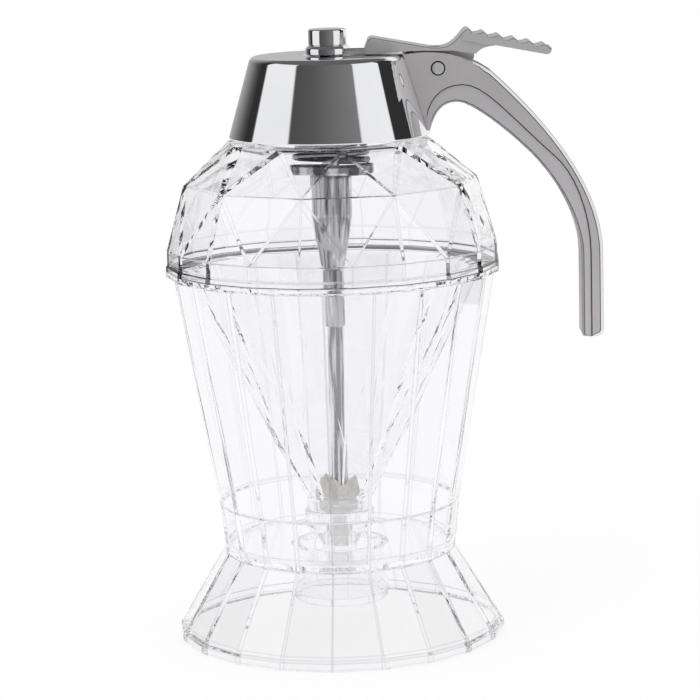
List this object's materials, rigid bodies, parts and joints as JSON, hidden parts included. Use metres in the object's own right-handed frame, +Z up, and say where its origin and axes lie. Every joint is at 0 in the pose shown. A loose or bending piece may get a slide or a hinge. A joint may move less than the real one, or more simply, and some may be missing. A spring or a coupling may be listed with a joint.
{
  "type": "honey dispenser",
  "caption": "Clear gem-cut syrup jar hung in a faceted stand, with a chrome screw cap, a cast handle and a thumb lever that lifts a rod and plug to open the spout.",
  "frame": {"origin": "centre of the stand's foot, on the axis of the jar, at table level", "axes": "+Z up along the jar's axis, +X towards the handle, +Y across the handle"},
  "size_m": [0.1149, 0.0878, 0.1613],
  "materials": {
    "clear_acrylic": "clear, polished",
    "white_silicone": "matte",
    "chrome": "mirror",
    "liner_plastic": "matte",
    "steel": "polished",
    "cast_metal": "satin",
    "lever_metal": "satin",
    "dark_steel": "satin",
    "satin_tube": "satin",
    "frosted_silicone": "frosted",
    "spring_wire": "bright"
  },
  "bodies": {
    "stand": {"stand": "clear_acrylic"},
    "jar": {"jar_dome": "clear_acrylic", "jar_cone": "clear_acrylic", "spout": "clear_acrylic"},
    "gasket": {"cap_gasket": "white_silicone"},
    "cap": {"cap_shell": "chrome", "cap_liner": "liner_plastic", "guide_bush": "steel", "bush_nut": "steel", "handle": "cast_metal", "handle_screws": "steel", "lever_pin": "steel", "return_spring": "spring_wire"},
    "lever": {"thumb_lever": "lever_metal"},
    "rod": {"lift_collar": "chrome", "knob": "chrome", "plunger_rod": "steel", "spring_plate": "dark_steel", "rod_sleeve": "satin_tube", "sleeve_stop": "satin_tube", "valve_plug": "frosted_silicone"}
  },
  "joints": [
    {"name": "jar_lift", "type": "slide", "parent": "stand", "child": "jar", "axis": [0, 0, 1], "range_m": [0, 0.1]},
    {"name": "cap_lift", "type": "slide", "parent": "jar", "child": "gasket", "axis": [0, 0, 1], "range_m": [0, 0.0045]},
    {"name": "cap_turn", "type": "hinge", "parent": "gasket", "child": "cap", "pos_m": [0, 0, 0.14], "axis": [0, 0, 1], "range_deg": [0, 450]},
    {"name": "lever_pivot", "type": "hinge", "parent": "cap", "child": "lever", "pos_m": [0.0285, 0, 0.1507], "axis": [0, 1, 0], "range_deg": [0, 11.5]},
    {"name": "rod_slide", "type": "slide", "parent": "cap", "child": "rod", "axis": [0, 0, 1], "range_m": [0, 0.0057], "stiffness_N_per_m": 200, "springref_m": -0.004, "deforming": ["return_spring"]}
  ],
  "couplings": [
    {"joint": "cap_lift", "follows": "cap_turn", "m_per_rad": 0.00057296},
    {"joint": "lever_pivot", "follows": "rod_slide", "rad_per_m": 35.088}
  ]
}
